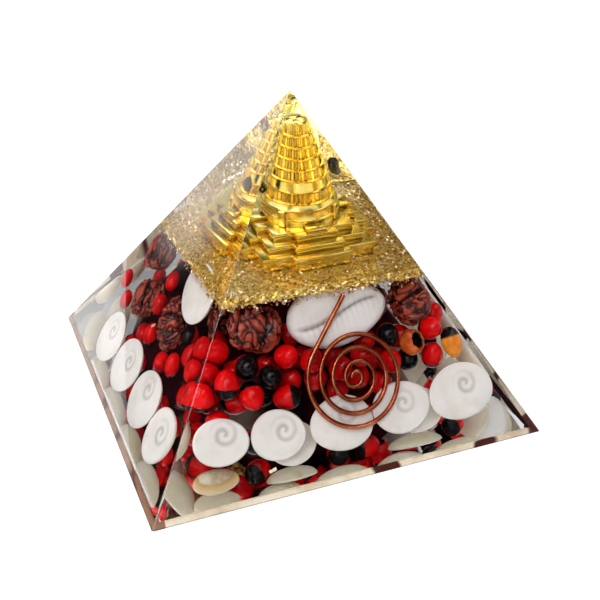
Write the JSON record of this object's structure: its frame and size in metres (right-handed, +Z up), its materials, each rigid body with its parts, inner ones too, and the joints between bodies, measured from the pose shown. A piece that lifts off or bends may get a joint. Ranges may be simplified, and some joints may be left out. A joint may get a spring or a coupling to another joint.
{
  "type": "vastu pyramid",
  "caption": "Four-sided clear resin pyramid cast in layers round a gold stepped yantra, a flat copper spiral, shell discs, a cowrie, rudraksha beads and red seeds.",
  "frame": {"origin": "centre of the square base, on the table", "axes": "+Z up through the apex; the pictured face with the copper spiral looks along -Y"},
  "size_m": [0.1, 0.1, 0.0772],
  "materials": {
    "clear_resin": "polished clear casting resin",
    "gold_flake_resin": "clear resin packed with gold flake",
    "dark_core_resin": "dark maroon resin",
    "gold_plate": "gold-plated casting, polished",
    "copper_wire": "bare copper, bright",
    "tourmaline": "broken crystal, glossy",
    "gomti_shell": "smooth shell, faint grey spiral",
    "cowrie_shell": "glossy shell",
    "rudraksha_seed": "rough ridged seed",
    "gunja_seed": "glossy red seed with a black cap",
    "orange_seed": "glossy orange seed with a black cap",
    "seed_shell": "thin dry seed shell",
    "gold_foil": "crumpled foil"
  },
  "bodies": {
    "root": {"back_gomti_1": "gomti_shell", "back_gomti_2": "gomti_shell", "back_gomti_3": "gomti_shell", "back_gomti_4": "gomti_shell", "back_gomti_5": "gomti_shell", "back_gunja_seeds": "gunja_seed", "back_rudraksha_1": "rudraksha_seed", "back_rudraksha_2": "rudraksha_seed", "base_resin": "clear_resin", "clear_apex_resin": "clear_resin", "copper_spiral": "copper_wire", "dark_core_resin": "dark_core_resin", "foil_slivers": "gold_foil", "front_gomti_1": "gomti_shell", "front_gomti_2": "gomti_shell", "front_gomti_3": "gomti_shell", "front_gomti_4": "gomti_shell", "front_gomti_5": "gomti_shell", "front_gunja_seeds": "gunja_seed", "front_money_cowrie": "cowrie_shell", "front_rudraksha_1": "rudraksha_seed", "front_rudraksha_2": "rudraksha_seed", "front_rudraksha_3": "rudraksha_seed", "front_second_gomti_1": "gomti_shell", "front_second_gomti_2": "gomti_shell", "front_white_cowrie": "cowrie_shell", "gold_flake_resin": "gold_flake_resin", "gold_flakes": "gold_foil", "half_seed_shell": "seed_shell", "left_gomti_1": "gomti_shell", "left_gomti_2": "gomti_shell", "left_gomti_3": "gomti_shell", "left_gomti_4": "gomti_shell", "left_gunja_seeds": "gunja_seed", "left_rudraksha_1": "rudraksha_seed", "left_rudraksha_2": "rudraksha_seed", "left_rudraksha_3": "rudraksha_seed", "left_tourmaline": "tourmaline", "left_upper_gomti": "gomti_shell", "meru_shri_yantra": "gold_plate", "orange_seed": "orange_seed", "right_gomti_1": "gomti_shell", "right_gomti_2": "gomti_shell", "right_gomti_3": "gomti_shell", "right_gomti_4": "gomti_shell", "right_gunja_seeds": "gunja_seed", "right_rudraksha_1": "rudraksha_seed", "right_tourmaline": "tourmaline", "right_white_cowrie": "cowrie_shell", "seed_bed_resin": "clear_resin"}
  },
  "joints": []
}
